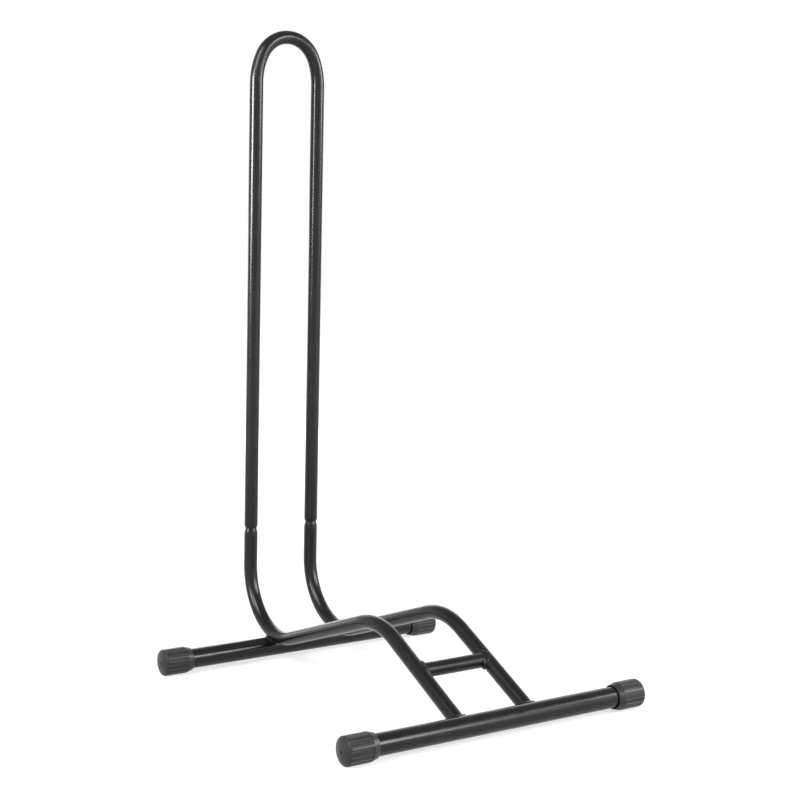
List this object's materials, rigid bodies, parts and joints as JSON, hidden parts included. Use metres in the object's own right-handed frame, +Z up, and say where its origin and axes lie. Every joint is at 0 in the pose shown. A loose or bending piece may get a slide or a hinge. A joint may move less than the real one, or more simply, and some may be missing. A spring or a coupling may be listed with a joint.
{
  "type": "vertical bike stand",
  "caption": "Bent-tube floor stand for a bicycle: low rails on capped foot tubes take the tyre, and a tall lift-off hoop steadies the wheel between its legs.",
  "frame": {"origin": "on the floor, at the middle of the stand's footprint", "axes": "+Z up; +X to the right as seen from the front; -Y towards the front, where the tyre rolls in, and +Y towards the hoop"},
  "size_m": [0.378, 0.4636, 0.7439],
  "materials": {
    "powder_coat": "satin black powder coat",
    "coated_weld": "weld bead under satin black powder coat",
    "cap_rubber": "matte moulded, ribbed"
  },
  "bodies": {
    "base": {"left_rail": "powder_coat", "right_rail": "powder_coat", "cross_tube": "powder_coat", "rear_foot_tube": "powder_coat", "front_foot_tube": "powder_coat", "rear_left_cap": "cap_rubber", "rear_right_cap": "cap_rubber", "front_left_cap": "cap_rubber", "front_right_cap": "cap_rubber", "rear_left_weld": "coated_weld", "rear_right_weld": "coated_weld", "front_left_weld": "coated_weld", "front_right_weld": "coated_weld", "cross_left_weld": "coated_weld", "cross_right_weld": "coated_weld"},
    "hoop": {"hoop": "powder_coat"}
  },
  "joints": [
    {"name": "hoop_lift", "type": "slide", "parent": "base", "child": "hoop", "axis": [0, -0.0314, 0.9995], "range_m": [0, 0.045]}
  ]
}
